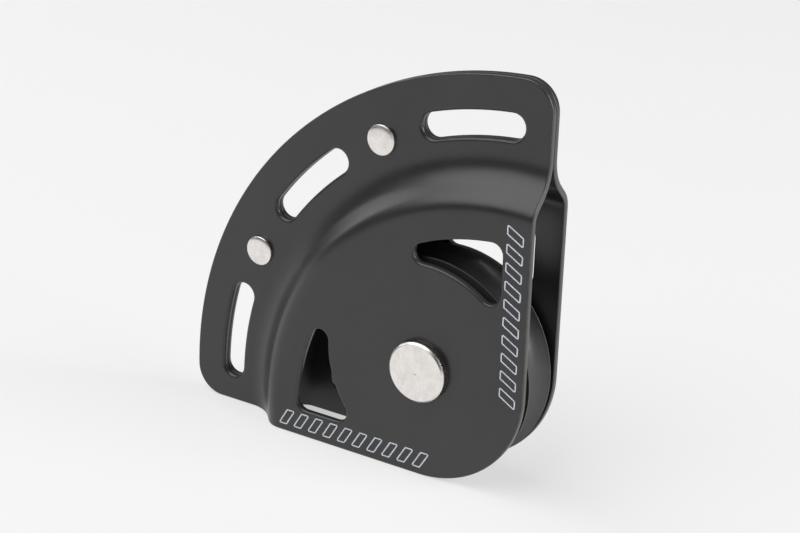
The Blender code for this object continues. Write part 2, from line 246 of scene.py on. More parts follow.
def makeAnodisedPlate():
    material, tree, shader, where = startMaterial("blackAnodised", 0.32, ior=1.59)
    grain = effect(tree, "blastGrain", Vector=where, Grain=0.00026, Patch=0.02)
    marks = effect(tree, "handling", Vector=where, Smudge_Size=0.02, Speck_Size=0.00010)
    distance = addNode(tree, "ShaderNodeAttribute", attribute_name="edgeDistance").outputs["Fac"]
    wear = effect(tree, "edgeWear", Vector=where, Distance=distance, Width=0.00042)
    color = blend(tree, grain["Patches"], plateFinish["color"], plateFinish["patchColor"])
    color = blend(tree, calc(tree, "MULTIPLY", wear["Mask"], 0.45), color, plateFinish["wornColor"])
    color = blend(tree, calc(tree, "MULTIPLY", marks["Specks"], 0.5), color, plateFinish["dustColor"])
    plug(tree, color, shader.inputs["Base Color"])
    smooth, rough = plateFinish["roughness"]
    plug(tree, ramp(tree, marks["Smudges"], 0.0, 1.0, rough, smooth), shader.inputs["Roughness"])
    addBump(tree, shader, grain["Height"], plateFinish["grainDepth"])
    return material


sheaveFinish = {"color": grey(0.024), "bandColor": grey(0.031), "roughness": (0.30, 0.42),
                "ringDepth": 0.000010, "grainDepth": 0.000004}


def makeTurnedAnodised():
    material, tree, shader, where = startMaterial("turnedAnodised", 0.36, ior=1.75, centre=axle)
    rings = effect(tree, "turningMarks", Vector=where, Pitch=0.00028, Axial=0.8)
    grain = effect(tree, "blastGrain", Vector=where, Grain=0.00012, Patch=0.011)
    color = blend(tree, rings["Bands"], sheaveFinish["color"], sheaveFinish["bandColor"])
    plug(tree, color, shader.inputs["Base Color"])
    low, high = sheaveFinish["roughness"]
    plug(tree, ramp(tree, grain["Patches"], 0.0, 1.0, low, high), shader.inputs["Roughness"])
    first = addBump(tree, shader, rings["Height"], sheaveFinish["ringDepth"])
    addBump(tree, shader, grain["Height"], sheaveFinish["grainDepth"], under=first)
    return material


steelFinish = {"color": grey(0.83, 0.035), "dullColor": grey(0.70, 0.045), "roughness": (0.26, 0.38)}


# painted shade: the knurled rim of each axle head gets a much darker copy of the head's steel, standing in
# for the shade on the head's side, which faces away from the lamps
knurlPaintedShade = {"color": grey(0.17, 0.06), "dullColor": grey(0.09, 0.08), "roughness": (0.32, 0.48)}


def makeStainless(name, centre, pitch, ringDepth, finish=steelFinish):
    material, tree, shader, where = startMaterial(name, 0.32, metallic=1.0, centre=centre)
    rings = effect(tree, "turningMarks", Vector=where, Pitch=pitch, Axial=0.5)
    grain = effect(tree, "blastGrain", Vector=where, Grain=0.0004, Patch=0.0021)
    marks = effect(tree, "handling", Vector=where, Smudge_Size=0.003, Speck_Size=0.00006)
    mottle = calc(tree, "MULTIPLY_ADD", marks["Smudges"], 0.5, calc(tree, "MULTIPLY", grain["Patches"], 0.5))
    plug(tree, blend(tree, mottle, finish["color"], finish["dullColor"]), shader.inputs["Base Color"])
    low, high = finish["roughness"]
    plug(tree, ramp(tree, mottle, 0.0, 1.0, low, high), shader.inputs["Roughness"])
    first = addBump(tree, shader, rings["Height"], ringDepth)
    addBump(tree, shader, grain["Height"], 0.000012, under=first)
    return material


def makePlastic(name, color, spotColor, roughness):
    material, tree, shader, where = startMaterial(name, roughness, ior=1.48)
    grain = effect(tree, "blastGrain", Vector=where, Grain=0.00035, Patch=0.004)
    plug(tree, blend(tree, grain["Patches"], color, spotColor), shader.inputs["Base Color"])
    plug(tree, ramp(tree, grain["Patches"], 0.0, 1.0, roughness, roughness + 0.1), shader.inputs["Roughness"])
    addBump(tree, shader, grain["Height"], 0.000008)
    return material


def makePrint():  # engraved white line, slightly broken up by the blasted surface
    material, tree, shader, where = startMaterial("engravedWhite", 0.6)
    grain = effect(tree, "blastGrain", Vector=where, Grain=0.0003, Patch=0.003)
    plug(tree, blend(tree, grain["Patches"], (0.74, 0.78, 0.86, 1), (0.60, 0.64, 0.72, 1)),
         shader.inputs["Base Color"])
    addBump(tree, shader, grain["Height"], 0.000006)
    return material


materials = {
    "plate": makeAnodisedPlate(),
    "sheave": makeTurnedAnodised(),
    "axleSteel": makeStainless("axleSteel", axle, 0.00035, 0.000007),
    "knurlSteelPaintedShade": makeStainless("knurlSteelPaintedShade", axle, 0.00035, 0.000007, knurlPaintedShade),
    "ringSteel": makeStainless("ringSteel", axle, 0.0005, 0.000012),
    "rivetSteel": makeStainless("rivetSteel", None, 0.002, 0.0),
    "blackAcetal": makePlastic("blackAcetal", grey(0.02), grey(0.03), 0.42),
    "whiteAcetal": makePlastic("whiteAcetal", (0.78, 0.76, 0.70, 1), (0.72, 0.70, 0.63, 1), 0.38),
    "print": makePrint(),
}
print("materials:", len(materials))


# meshes


def newPiece(name, mesh, body, nodes, material=None):
    piece = bpy.data.objects.new(name, mesh)
    bpy.context.scene.collection.objects.link(piece)
    if material:
        mesh.materials.clear()
        mesh.materials.append(material)
    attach(piece, body)
    if nodes:
        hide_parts(*nodes)
    return piece


def bakedMesh(piece, name):  # the evaluated mesh as plain data, and the working object is dropped
    bpy.context.view_layer.update()
    graph = bpy.context.evaluated_depsgraph_get()
    mesh = bpy.data.meshes.new_from_object(piece.evaluated_get(graph))
    mesh.name = name
    bpy.data.objects.remove(piece, do_unlink=True)
    return mesh


def runTree(name, tree, values, mesh=None):
    piece = bpy.data.objects.new(name, mesh or bpy.data.meshes.new(name))
    bpy.context.scene.collection.objects.link(piece)
    modifier = piece.modifiers.new(name, "NODES")
    modifier.node_group = tree
    sockets = {item.name: item.identifier for item in tree.interface.items_tree if item.in_out == "INPUT"}
    for label, value in values.items():
        modifier[sockets[label]] = value
    return bakedMesh(piece, name)


def softened(profile, radius, steps=4):
    count = len(profile)
    points = []
    for i, corner in enumerate(profile):
        here, soft = Vector(corner[:2]), corner[2] if len(corner) > 2 else radius
        if soft == 0:
            points.append(here)
            continue
        before, after = Vector(profile[i - 1][:2]), Vector(profile[(i + 1) % count][:2])
        u, v = (before - here).normalized(), (after - here).normalized()
        angle = u.angle(v)
        reach = min(soft / math.tan(angle / 2), 0.45 * (before - here).length, 0.45 * (after - here).length)
        soft = reach * math.tan(angle / 2)
        middle = here + (u + v).normalized() * (soft / math.sin(angle / 2))
        start, end = here + u * reach - middle, here + v * reach - middle
        turn = start.angle_signed(end)
        points.append(here + u * reach * 1.15)
        for k in range(steps + 1):
            points.append(middle + Matrix.Rotation(-turn * k / steps, 2) @ start)
        points.append(here + v * reach * 1.15)
    return points


def turned(name, profile, centre, steps, closed=True):
    shape = bmesh.new()
    verts = [shape.verts.new((centre.x + p[0], centre.y + p[1], centre.z)) for p in profile]
    edges = [shape.edges.new(pair) for pair in zip(verts, verts[1:])]
    if closed:
        edges.append(shape.edges.new((verts[-1], verts[0])))
    bmesh.ops.spin(shape, geom=verts + edges, cent=centre, axis=(0, 1, 0), angle=2 * math.pi,
                   steps=steps, use_merge=True)
    bmesh.ops.remove_doubles(shape, verts=shape.verts, dist=0.0005)
    bmesh.ops.recalc_face_normals(shape, faces=shape.faces)
    bmesh.ops.scale(shape, vec=(mm, mm, mm), verts=shape.verts)
    mesh = bpy.data.meshes.new(name)
    shape.to_mesh(mesh)
    shape.free()
    mesh.shade_smooth()
    return mesh


def ringProfile(inner, outer, low, high, soft=0.2):
    return softened([(inner, high), (outer, high), (outer, low), (inner, low)], soft)


# outline of the sheet blank, about the hub


blank = {
    "tipRound": 8.0, "cornerRound": 29.0,
    "slotRadius": 87.7, "slotHalfWidth": 3.32, "slotHalfAngle": 7.26, "slotSpacing": 35.38, "middle": 135.0,
    "rivetRadius": 87.5, "rivetAngle": 17.86, "rivetHole": 2.15, "axleHole": 5.15,
    "windowTop": 60.8, "windowLow": 28.5, "windowSide": 0.67,
    "windowTopRound": 3.0, "windowLowRound": 3.0, "windowEndRound": 2.6,
    "outerEdge": 0.45, "slotEdge": 0.95, "windowEdge": 0.7, "boreEdge": 0.25,  # rounding of each kind of edge
    "spacing": 0.9,  # between points along an outline
}
# how the flat blank is divided: rings about the hub, closer together where the sheet bends
grid = {"edgeSteps": 6, "pastEdge": 0.15, "firstRing": 3.0, "bend": (64.5, 82.5), "bendGap": 0.7,
        "flatGap": 3.0, "bendPitch": 1.3, "flatPitch": 3.2, "clearOfEdge": 0.7, "tolerance": 1e-5}


def arc(cx, cz, radius, start, end):
    count = max(6, round(abs(math.radians(end - start)) * radius / blank["spacing"]))
    angles = [math.radians(start + (end - start) * i / count) for i in range(count + 1)]
    return [(cx + radius * math.cos(a), cz + radius * math.sin(a)) for a in angles]


def angleOf(x, z):
    return math.degrees(math.atan2(z, x)) % 360


def mirrored(outline):
    return [(-z, -x) for x, z in reversed(outline)]


def filled(outline):  # long straight stretches get points too, so that they can bend
    points = []
    for (ax, az), (bx, bz) in zip(outline, outline[1:] + outline[:1]):
        count = max(1, round(math.hypot(bx - ax, bz - az) / blank["spacing"]))
        points += [(ax + (bx - ax) * i / count, az + (bz - az) * i / count) for i in range(count)]
    return points


def plateOutline():
    tip = blank["tipRound"]
    tipX = edgeBeyondHub - tip
    tipZ = math.sqrt((outerRadius - tip) ** 2 - tipX**2)
    tipAngle = angleOf(tipX, tipZ)
    inset = blank["cornerRound"] - edgeBeyondHub
    topTip = arc(tipX, tipZ, tip, 0, tipAngle)
    rim = arc(0, 0, outerRadius, tipAngle, 270 - tipAngle)
    corner = arc(-inset, inset, blank["cornerRound"], 270, 360)
    return filled(corner + topTip + rim[1:-1] + mirrored(topTip))


def slotOutline(middle):
    low, high = middle - blank["slotHalfAngle"], middle + blank["slotHalfAngle"]
    radius, width = blank["slotRadius"], blank["slotHalfWidth"]
    ends = [(radius * math.cos(math.radians(a)), radius * math.sin(math.radians(a))) for a in (high, low)]
    points = arc(0, 0, radius + width, low, high) + arc(*ends[0], width, high, high + 180)[1:-1]
    return points + arc(0, 0, radius - width, high, low) + arc(*ends[1], width, low + 180, low + 360)[1:-1]


def windowOutline():
    ax, az = -axleFromHub, axleFromHub
    topRound, lowRound, endRound = (blank[k] for k in ("windowTopRound", "windowLowRound", "windowEndRound"))
    ux = -blank["windowSide"] - topRound  # corner between the straight side and the arc about the hub
    uz = math.sqrt((blank["windowTop"] - topRound) ** 2 - ux**2)
    lx = -blank["windowSide"] - lowRound  # corner between the straight side and the arc about the axle
    lz = az + math.sqrt((blank["windowLow"] + lowRound) ** 2 - (lx - ax) ** 2)
    apart = math.hypot(ax, az)  # the far end is tangent to both arcs
    fromHub, fromAxle = blank["windowTop"] - endRound, blank["windowLow"] + endRound
    along = (fromHub**2 - fromAxle**2 + apart**2) / (2 * apart)
    across = math.sqrt(fromHub**2 - along**2)
    ex, ez = (across - along) * math.sqrt(0.5), (across + along) * math.sqrt(0.5)
    lowAngle, endLow, endTop = angleOf(lx - ax, lz - az), angleOf(ex - ax, ez - az), angleOf(ex, ez)
    points = arc(ux, uz, topRound, 0, angleOf(ux, uz))
    points += arc(0, 0, blank["windowTop"], angleOf(ux, uz), endTop)[1:-1]
    points += arc(ex, ez, endRound, endTop, endLow + 180)
    points += arc(ax, az, blank["windowLow"], endLow, lowAngle)[1:-1]
    return filled(points + arc(lx, lz, lowRound, lowAngle + 180, 360))


def rivetPlaces():
    angles = [math.radians(blank["middle"] + side * blank["rivetAngle"]) for side in (-1, 1)]
    return [(blank["rivetRadius"] * math.cos(a), blank["rivetRadius"] * math.sin(a)) for a in angles]


def inside(points, loop):
    x, z = points[:, :1], points[:, 1:]
    ax, az = np.array(loop).T
    bx, bz = np.roll(ax, -1), np.roll(az, -1)
    crosses = (az > z) != (bz > z)
    rise = np.where(bz == az, 1.0, bz - az)
    return (crosses & (x < (bx - ax) * (z - az) / rise + ax)).sum(1) % 2 == 1


def insetLoop(loop, distance, side):  # side is 1 where the metal lies to the left of the loop
    points = []
    for before, here, after in zip(loop[-1:] + loop[:-1], loop, loop[1:] + loop[:1]):
        a, b = Vector(before) - Vector(here), Vector(after) - Vector(here)
        normal = (a.normalized().orthogonal() * -1 + b.normalized().orthogonal()).normalized()
        points.append(tuple(Vector(here) + normal * distance * side))
    return points


def cutBlank():
    loops = [(plateOutline(), 1, blank["outerEdge"])]
    for i in (-1, 0, 1):
        loops.append((slotOutline(blank["middle"] + i * blank["slotSpacing"]), -1, blank["slotEdge"]))
    for window in (windowOutline(), mirrored(windowOutline())):
        loops.append((window, -1, blank["windowEdge"]))
    for x, z in rivetPlaces():
        loops.append((arc(x, z, blank["rivetHole"], 0, 360)[:-1], -1, blank["boreEdge"]))
    bore = arc(-axleFromHub, axleFromHub, blank["axleHole"], 0, 360)[:-1]
    loops.append((bore, -1, blank["boreEdge"]))
    coords, distances, rounds, edges = [], [], [], []
    steps = grid["edgeSteps"]
    for loop, side, soft in loops:
        insets = [soft * (1 - math.cos(math.pi / 2 * k / steps)) for k in range(steps + 1)]
        insets.append(soft + grid["pastEdge"])
        for inset in insets:
            first = len(coords)
            coords += insetLoop(loop, inset, side)
            distances += [inset] * len(loop)
            rounds += [soft] * len(loop)
            edges += [(first + i, first + (i + 1) % len(loop)) for i in range(len(loop))]
    boundary = KDTree(sum(len(loop) for loop, _, _ in loops))
    index = 0
    for loop, _, soft in loops:
        for x, z in loop:
            boundary.insert((x, z, soft), index)
            index += 1
    boundary.balance()

    radius = grid["firstRing"]
    while radius < outerRadius:
        bend = grid["bend"][0] < radius < grid["bend"][1]
        count = round(2 * math.pi * radius / (grid["bendPitch"] if bend else grid["flatPitch"]))
        for i in range(count):
            a = 2 * math.pi * (i + 0.5 * (round(radius) % 2)) / count
            point = (radius * math.cos(a), radius * math.sin(a))
            (_, _, soft), _, gap = boundary.find((*point, 0.0))
            if math.sqrt(max(gap**2 - soft**2, 0)) > soft + grid["clearOfEdge"]:
                coords.append(point)
                distances.append(gap)
                rounds.append(soft)
        radius += grid["bendGap"] if bend else grid["flatGap"]
    spots = [Vector(c) for c in coords]
    verts, _, faces, origins, _, _ = delaunay_2d_cdt(spots, edges, [], 0, grid["tolerance"])
    flat = np.array([tuple(v) for v in verts])
    centres = flat[np.array([tuple(f) for f in faces])].mean(axis=1)
    keep = inside(centres, loops[0][0])
    for loop, _, _ in loops[1:]:
        keep &= ~inside(centres, loop)
    mesh = bpy.data.meshes.new("blank")
    places = [((hub.x + v.x) * mm, 0, (hub.z + v.y) * mm) for v in verts]
    mesh.from_pydata(places, [], [tuple(f) for f, kept in zip(faces, keep) if kept])
    for label, values in (("edgeDistance", distances), ("edgeRound", rounds)):
        column = mesh.attributes.new(label, "FLOAT", "POINT")
        column.data.foreach_set("value", [values[o[0]] * mm if o else mm for o in origins])
    shape = bmesh.new()
    shape.from_mesh(mesh)
    bmesh.ops.delete(shape, geom=[v for v in shape.verts if not v.link_faces], context="VERTS")
    shape.to_mesh(mesh)
    shape.free()
    return mesh


# the press: the blank takes its section about the hub, its thickness and its rounded edges


press = {"raisedRadius": 67.3, "crestBend": 6.0, "footBend": 10.5, "stepAngle": math.radians(46.5),
         "innerEdge": 0.35}


def makeSectionTree():
    tree, given, result = newTree("sheetSection", "GeometryNodeTree", [
        ("Radius", "Float", 0.0), ("Inset", "Float", 0.0), ("Raised Face", "Float", 0.0091),
        ("Raised Radius", "Float", 0.067), ("Crest Bend", "Float", 0.006), ("Foot Bend", "Float", 0.0105),
        ("Foot Radius", "Float", 0.081), ("Step Angle", "Float", 0.8)], [("Height", "Float")])

    def m(operation, *values):
        return calc(tree, operation, *values)

    def clamped(value, top):
        return m("MINIMUM", m("MAXIMUM", value, 0.0), top)

    def sagitta(bend, reach):
        rest = m("SUBTRACT", m("MULTIPLY", bend, bend), m("MULTIPLY", reach, reach))
        return m("SUBTRACT", bend, m("SQRT", rest))

    radius = given["Radius"]
    crest = m("SUBTRACT", given["Crest Bend"], given["Inset"])
    foot = m("ADD", given["Foot Bend"], given["Inset"])
    crestReach = m("MULTIPLY", crest, m("SINE", given["Step Angle"]))
    footReach = m("MULTIPLY", foot, m("SINE", given["Step Angle"]))
    straightStart = m("ADD", given["Raised Radius"], crestReach)
    straight = m("SUBTRACT", m("SUBTRACT", given["Foot Radius"], footReach), straightStart)
    overCrest = sagitta(crest, clamped(m("SUBTRACT", radius, given["Raised Radius"]), crestReach))
    alongStraight = clamped(m("SUBTRACT", radius, straightStart), straight)
    downStraight = m("MULTIPLY", alongStraight, m("TANGENT", given["Step Angle"]))
    ahead = clamped(m("SUBTRACT", given["Foot Radius"], radius), footReach)
    overFoot = m("SUBTRACT", sagitta(foot, footReach), sagitta(foot, ahead))
    drop = m("ADD", m("ADD", overCrest, downStraight), overFoot)
    height = m("SUBTRACT", m("SUBTRACT", given["Raised Face"], given["Inset"]), drop)
    plug(tree, height, result["Height"])
    return tree


def makePressTree(section):
    tree, given, result = newTree("pressPlate", "GeometryNodeTree", [
        ("Blank", "Geometry", None), ("Side", "Float", -1.0), ("Hub", "Vector", (0, 0, 0)),
        ("Sheet", "Float", 0.0018), ("Inner Edge", "Float", 0.0003), ("Raised Face", "Float", 0.0091),
        ("Raised Radius", "Float", 0.067), ("Crest Bend", "Float", 0.006), ("Foot Bend", "Float", 0.0105),
        ("Foot Radius", "Float", 0.081), ("Step Angle", "Float", 0.8), ("Material", "Material", None)],
        [("Geometry", "Geometry")])
    thick = addNode(tree, "GeometryNodeExtrudeMesh", {"Mesh": given["Blank"], "Offset Scale": 0.001,
                                                      "Individual": False}, mode="FACES")
    back = addNode(tree, "GeometryNodeFlipFaces", {"Mesh": given["Blank"]})
    both = addNode(tree, "GeometryNodeJoinGeometry")
    for output in (thick.outputs["Mesh"], back.outputs["Mesh"]):
        tree.links.new(output, both.inputs[0])
    body = addNode(tree, "GeometryNodeMergeByDistance", {"Geometry": both.outputs[0], "Distance": 1e-6})

    position = addNode(tree, "GeometryNodeInputPosition").outputs[0]
    xyz = addNode(tree, "ShaderNodeSeparateXYZ", {"Vector": position}).outputs
    isOuter = calc(tree, "LESS_THAN", xyz["Y"], -0.0005)
    fromHub = vectorCalc(tree, "MULTIPLY", vectorCalc(tree, "SUBTRACT", position, given["Hub"]), (1, 0, 1))
    radius = vectorCalc(tree, "LENGTH", fromHub)
    inset = calc(tree, "MULTIPLY", calc(tree, "SUBTRACT", 1.0, isOuter), given["Sheet"])
    shared = {k: given[k] for k in ("Raised Face", "Raised Radius", "Crest Bend", "Foot Bend", "Foot Radius",
                                    "Step Angle")}
    height = addNode(tree, "GeometryNodeGroup", node_tree=section)
    for label, value in {"Radius": radius, "Inset": inset, **shared}.items():
        plug(tree, value, height.inputs[label])

    def named(label):
        node = addNode(tree, "GeometryNodeInputNamedAttribute", data_type="FLOAT")
        node.inputs["Name"].default_value = label
        return node.outputs[0]

    soft = named("edgeRound")
    inner = calc(tree, "MINIMUM", soft, given["Inner Edge"])
    soft = calc(tree, "ADD", calc(tree, "MULTIPLY", isOuter, calc(tree, "SUBTRACT", soft, inner)), inner)
    lack = calc(tree, "MAXIMUM", calc(tree, "SUBTRACT", soft, named("edgeDistance")), 0.0)
    round2 = calc(tree, "SUBTRACT", calc(tree, "MULTIPLY", soft, soft), calc(tree, "MULTIPLY", lack, lack))
    drop = calc(tree, "SUBTRACT", soft, calc(tree, "SQRT", round2))
    outward = calc(tree, "MULTIPLY_ADD", isOuter, -2.0, 1.0)  # the drop goes inwards on both faces
    y = calc(tree, "MULTIPLY_ADD", drop, outward, height.outputs[0])
    y = calc(tree, "MULTIPLY", y, given["Side"])
    place = addNode(tree, "ShaderNodeCombineXYZ", {"X": xyz["X"], "Y": y, "Z": xyz["Z"]})
    formed = addNode(tree, "GeometryNodeSetPosition",
                     {"Geometry": body.outputs[0], "Position": place.outputs[0]})
    isRear = addNode(tree, "FunctionNodeCompare", {0: given["Side"], 1: 0.0}, operation="GREATER_THAN")
    turnedOver = addNode(tree, "GeometryNodeFlipFaces",
                         {"Mesh": formed.outputs[0], "Selection": isRear.outputs[0]})
    finishTree(tree, turnedOver.outputs[0], given["Material"], result[0])
    return tree


def finishTree(tree, geometry, material, output, smooth=True):
    real = addNode(tree, "GeometryNodeRealizeInstances", {"Geometry": geometry})
    shaded = addNode(tree, "GeometryNodeSetShadeSmooth",
                     {"Geometry": real.outputs[0], "Shade Smooth": smooth})
    coloured = addNode(tree, "GeometryNodeSetMaterial",
                       {"Geometry": shaded.outputs[0], "Material": material})
    plug(tree, coloured.outputs[0], output)


def makePlates():
    rise = raisedFace - flangeFace
    bends = press["crestBend"] + press["footBend"]
    across, down = math.cos(press["stepAngle"]), math.sin(press["stepAngle"])
    straight = (rise - bends * (1 - across)) / down
    foot = press["raisedRadius"] + bends * down + straight * across
    flat = cutBlank()
    print("blank:", len(flat.vertices), "points")
    tree = makePressTree(makeSectionTree())
    for name, side, node in (("frontPlate", -1.0, "front_side_plate"), ("rearPlate", 1.0, "rear_side_plate")):
        mesh = runTree(name, tree, {
            "Side": side, "Hub": hub * mm, "Sheet": sheet * mm, "Inner Edge": press["innerEdge"] * mm,
            "Raised Face": raisedFace * mm, "Raised Radius": press["raisedRadius"] * mm,
            "Crest Bend": press["crestBend"] * mm, "Foot Bend": press["footBend"] * mm,
            "Foot Radius": foot * mm,
            "Step Angle": press["stepAngle"], "Material": materials["plate"]}, flat.copy())
        newPiece(name, mesh, "plates", [node])
        print(name, len(mesh.polygons), "faces")


makePlates()


# sheave and bearing


sheave = {"rimHalf": 5.6, "grooveHalf": 5.3, "grooveRadius": 25.2, "bore": 11.8, "recess": 14.5,
          "recessFloor": 5.5, "hubHalf": 6.5, "webIn": 16.0, "webOut": 21.0, "steps": 192}


def grooveArc(rim, count=40):
    depth, width = rim - sheave["grooveRadius"], sheave["grooveHalf"]
    radius = (width**2 + depth**2) / (2 * depth)
    reach = math.asin(width / radius)
    middle = sheave["grooveRadius"] + radius
    angles = [reach - 2 * reach * i / count for i in range(count + 1)]
    return [(middle - radius * math.cos(a), radius * math.sin(a), 0) for a in angles]


def makeSheave():
    rim, rimHalf = (sheaveHigh.z - sheaveLow.z) / 2, sheave["rimHalf"]
    side = [(sheave["bore"], sheave["recessFloor"], 0.25), (sheave["recess"], sheave["recessFloor"], 0.15),
            (sheave["recess"], sheave["hubHalf"], 0.25), (sheave["webIn"], sheave["hubHalf"], 1.2),
            (sheave["webOut"], rimHalf, 1.2), (rim, rimHalf, 0.28)]
    groove = grooveArc(rim)
    groove[0] = (*groove[0][:2], 0.12)
    groove[-1] = (*groove[-1][:2], 0.12)
    profile = softened(side + groove + [(r, -y, soft) for r, y, soft in reversed(side)], 0.2)
    mesh = turned("sheave", profile, axle, sheave["steps"])
    newPiece("groovedSheave", mesh, "sheave", ["sheave"], materials["sheave"])
    print("sheave", len(mesh.polygons), "faces")


def makeRing(name, node, body, material, soft=0.15, steps=96):
    low, high = (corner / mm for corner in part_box(node))
    inner = rings[name]
    profile = ringProfile(inner, (high.z - low.z) / 2, low.y, high.y, soft)
    newPiece(name, turned(name, profile, axle, steps), body, [node], materials[material])


rings = {"frontRetainingRing": 8.45, "rearRetainingRing": 8.45, "frontThrustWasher": 8.15,
         "rearThrustWasher": 8.15, "innerRace": 5.15}


def makeRings():
    makeRing("frontRetainingRing", "sheave_retaining_ring_front", "sheave", "ringSteel")
    makeRing("rearRetainingRing", "sheave_retaining_ring_rear", "sheave", "ringSteel")
    makeRing("frontThrustWasher", "thrust_washer_front", "plates", "blackAcetal")
    makeRing("rearThrustWasher", "thrust_washer_rear", "plates", "blackAcetal")
    makeRing("innerRace", "bearing_inner_race", "plates", "ringSteel", 0.3)
    print("rings:", len(rings))


cage = {"inner": 8.35, "outer": 11.45, "pocketRadius": 1.9, "pocketHalf": 4.85, "pitch": 9.9, "count": 12}


def makePocketTree():
    tree, given, result = newTree("cutPockets", "GeometryNodeTree", [
        ("Ring", "Geometry", None), ("Centre", "Vector", (0, 0, 0)), ("Count", "Int", 12),
        ("Pitch Radius", "Float", 0.01), ("Pocket Radius", "Float", 0.002), ("Pocket Depth", "Float", 0.01),
        ("Material", "Material", None)], [("Geometry", "Geometry")])
    circle = addNode(tree, "GeometryNodeMeshCircle",
                     {"Vertices": given["Count"], "Radius": given["Pitch Radius"]})
    pocket = addNode(tree, "GeometryNodeMeshCylinder",
                     {"Vertices": 40, "Radius": given["Pocket Radius"], "Depth": given["Pocket Depth"]})
    pockets = addNode(tree, "GeometryNodeInstanceOnPoints",
                      {"Points": circle.outputs[0], "Instance": pocket.outputs["Mesh"]})
    upright = addNode(tree, "GeometryNodeTransform", {
        "Geometry": pockets.outputs[0], "Translation": given["Centre"], "Rotation": (math.pi / 2, 0, 0)})
    tools = addNode(tree, "GeometryNodeRealizeInstances", {"Geometry": upright.outputs[0]})
    cut = addNode(tree, "GeometryNodeMeshBoolean", {"Mesh 1": given["Ring"]}, operation="DIFFERENCE")
    tree.links.new(tools.outputs[0], cut.inputs["Mesh 2"])
    finishTree(tree, cut.outputs["Mesh"], given["Material"], result[0], smooth=False)
    return tree


def makeCage():
    halfWidth = half("roller_cage", 1)
    profile = ringProfile(cage["inner"], cage["outer"], -halfWidth, halfWidth, 0.2)
    mesh = runTree("rollerCage", makePocketTree(), {
        "Centre": axle * mm, "Count": cage["count"], "Pitch Radius": cage["pitch"] * mm,
        "Pocket Radius": cage["pocketRadius"] * mm, "Pocket Depth": 2 * cage["pocketHalf"] * mm,
        "Material": materials["blackAcetal"]}, turned("cageRing", profile, axle, 96))
    mesh.shade_smooth()
    mesh.set_sharp_from_angle(angle=math.radians(35))
    newPiece("rollerCage", mesh, "roller_cage", ["roller_cage"])
    print("cage", len(mesh.polygons), "faces")


roller = {"crown": 0.02, "straight": 0.6, "soft": 0.35, "steps": 40}


def makeRollers():
    for i in range(1, cage["count"] + 1):
        node = f"bearing_roller_{i:02d}"
        low, high = (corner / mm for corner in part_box(node))
        centre, radius, end = (low + high) / 2, (high.z - low.z) / 2, high.y
        edge = radius - roller["crown"]
        middle = end * roller["straight"]  # the crowned ends start here
        profile = softened([(0, end, 0), (edge, end), (radius, middle, 0), (radius, -middle, 0),
                            (edge, -end), (0, -end, 0)], roller["soft"])
        mesh = turned(node, profile, centre, roller["steps"], closed=False)
        newPiece(f"roller{i:02d}", mesh, f"roller_{i:02d}", [node], materials["whiteAcetal"])
    print("rollers:", cage["count"])


makeSheave()
makeRings()
makeCage()
makeRollers()


# axle, its heads and their knurled rims


head = {"chamfer": 0.5, "soft": 0.16, "shank": 5.0, "stub": 3.0, "stubLength": 8.0, "bore": 3.15,
        "dimple": 0.55, "dimpleDepth": 0.22, "socket": 2.9, "socketDepth": 1.5,
        "teeth": 108, "toothRadius": 0.19, "toothLedge": 0.12, "toothEnd": 0.15,
        "seatGap": 0.05, "boreSpare": 0.5, "steps": 144}


def headEdge(radius, out, under, sign):  # from the middle of the face to the underside
    return [(radius - head["chamfer"], sign * out, 0.25),
            (radius, sign * (out - head["chamfer"]), head["soft"]), (radius, sign * under, 0.1)]


def makeSerrationTree():
    tree, given, result = newTree("serratedRim", "GeometryNodeTree", [
        ("Centre", "Vector", (0, 0, 0)), ("Count", "Int", 80), ("Rim Radius", "Float", 0.008),
        ("Tooth Radius", "Float", 0.0002), ("Tooth Length", "Float", 0.0014), ("Material", "Material", None)],
        [("Geometry", "Geometry")])
    circle = addNode(tree, "GeometryNodeMeshCircle",
                     {"Vertices": given["Count"], "Radius": given["Rim Radius"]})
    bar = addNode(tree, "GeometryNodeMeshCylinder", {
        "Vertices": 8, "Side Segments": 3, "Radius": given["Tooth Radius"], "Depth": given["Tooth Length"]})
    spot = addNode(tree, "GeometryNodeInputPosition").outputs[0]
    share = addNode(tree, "ShaderNodeSeparateXYZ", {"Vector": spot}).outputs["Z"]
    share = calc(tree, "ABSOLUTE", calc(tree, "DIVIDE", share, given["Tooth Length"]))
    thin = ramp(tree, share, 0.3, 0.5, 1.0, 0.35)  # the ends of each tooth run out
    scale = addNode(tree, "ShaderNodeCombineXYZ", {"X": thin, "Y": thin, "Z": 1.0})
    tapered = addNode(tree, "GeometryNodeSetPosition", {
        "Geometry": bar.outputs["Mesh"], "Position": vectorCalc(tree, "MULTIPLY", spot, scale.outputs[0])})
    teeth = addNode(tree, "GeometryNodeInstanceOnPoints",
                    {"Points": circle.outputs[0], "Instance": tapered.outputs[0]})
    upright = addNode(tree, "GeometryNodeTransform", {
        "Geometry": teeth.outputs[0], "Translation": given["Centre"], "Rotation": (math.pi / 2, 0, 0)})
    finishTree(tree, upright.outputs[0], given["Material"], result[0])
    return tree


def joined(name, meshes, finishes):  # one finish for each mesh
    shape = bmesh.new()
    whole = bpy.data.meshes.new(name)
    for index, (mesh, finish) in enumerate(zip(meshes, finishes)):
        before = len(shape.faces)
        shape.from_mesh(mesh)
        shape.faces.ensure_lookup_table()
        for face in shape.faces[before:]:
            face.material_index = index
        whole.materials.append(materials[finish])
    shape.to_mesh(whole)
    shape.free()
    whole.shade_smooth()
    return whole


def serrations(tree, sign, radius, out, under):
    middle = (out - head["chamfer"] + under) / 2
    length = out - head["chamfer"] - under - head["toothEnd"]
    centre = Vector((axle.x, sign * middle, axle.z))
    return runTree("teeth", tree, {
        "Centre": centre * mm, "Count": head["teeth"], "Rim Radius": (radius - head["toothRadius"]) * mm,
        "Tooth Radius": head["toothRadius"] * mm, "Tooth Length": length * mm,
        "Material": materials["knurlSteelPaintedShade"]})


